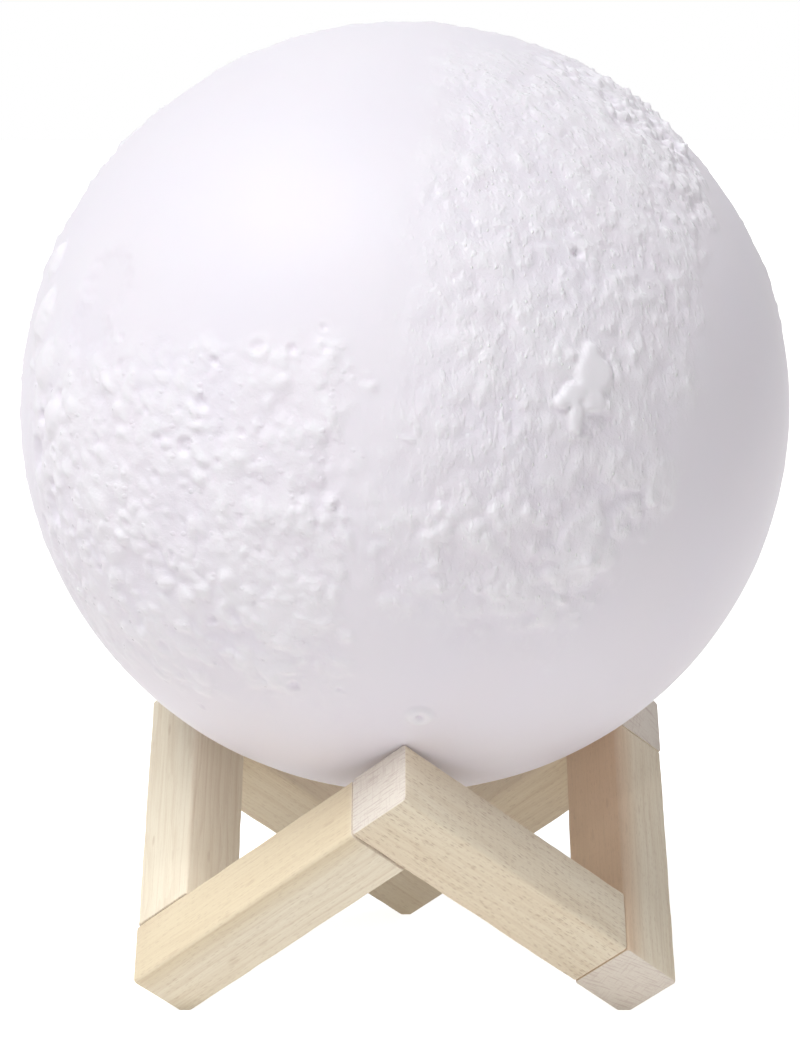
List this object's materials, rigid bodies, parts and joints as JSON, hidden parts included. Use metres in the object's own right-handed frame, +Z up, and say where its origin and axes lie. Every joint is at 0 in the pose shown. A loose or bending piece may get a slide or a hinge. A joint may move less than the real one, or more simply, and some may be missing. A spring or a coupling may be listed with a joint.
{
  "type": "moon lamp",
  "caption": "Table lamp: a round white moon-relief globe with a light unit in its base, resting in a zigzag cradle of square beech bars.",
  "frame": {"origin": "on the ground, below the centre of the globe", "axes": "+Z up, front corner of the cradle towards -Y, +X to the right seen from the front"},
  "size_m": [0.15, 0.15, 0.1895],
  "materials": {
    "beech": "planed and sanded beech, unfinished",
    "dowel_wood": "turned beech dowel",
    "moon_shell": "satin white translucent moulding with moon relief",
    "white_plastic": "fine matt moulding",
    "button_plastic": "polished white",
    "seal_foam": "soft closed-cell foam",
    "screw_steel": "zinc plated",
    "switch_plastic": "black moulding",
    "socket_metal": "nickel plated, satin",
    "circuit_board": "green solder mask",
    "capacitor_ceramic": "brown ceramic",
    "light_pipe": "clear moulded light pipe",
    "lamp_resin": "pale yellow resin",
    "light_board": "white mask on aluminium",
    "frosted_plastic": "frosted",
    "battery_wrap": "silver pouch",
    "red_wire": "soft insulation",
    "black_wire": "soft insulation"
  },
  "bodies": {
    "stand": {"stand_bar_front_left": "beech", "stand_bar_front_right": "beech", "stand_bar_right": "beech", "stand_bar_back_right": "beech", "stand_bar_back_left": "beech", "stand_bar_left": "beech", "stand_dowels": "dowel_wood"},
    "globe": {"globe_shell": "moon_shell", "base_housing": "white_plastic", "base_cover": "white_plastic", "led_post": "white_plastic", "flange_seal": "seal_foam", "battery_pad": "seal_foam", "cover_screws": "screw_steel", "board_screws": "screw_steel", "post_screws": "screw_steel", "push_switch": "switch_plastic", "control_chip": "switch_plastic", "charging_chip": "switch_plastic", "socket_tongue": "switch_plastic", "charging_socket": "socket_metal", "main_board": "circuit_board", "board_capacitors": "capacitor_ceramic", "charge_indicator": "light_pipe", "indicator_lamp": "lamp_resin", "leds": "lamp_resin", "led_board": "light_board", "led_diffuser": "frosted_plastic", "battery": "battery_wrap", "battery_lead_red": "red_wire", "led_lead_red": "red_wire", "battery_lead_black": "black_wire", "led_lead_black": "black_wire"},
    "button": {"power_button": "button_plastic", "switch_plunger": "switch_plastic"}
  },
  "joints": [
    {"name": "globe_lift", "type": "slide", "parent": "stand", "child": "globe", "axis": [0, 0, 1], "range_m": [0, 0.04]},
    {"name": "button_press", "type": "slide", "parent": "globe", "child": "button", "axis": [0, 0, 1], "range_m": [0, 0.0012], "stiffness_N_per_m": 1000}
  ]
}
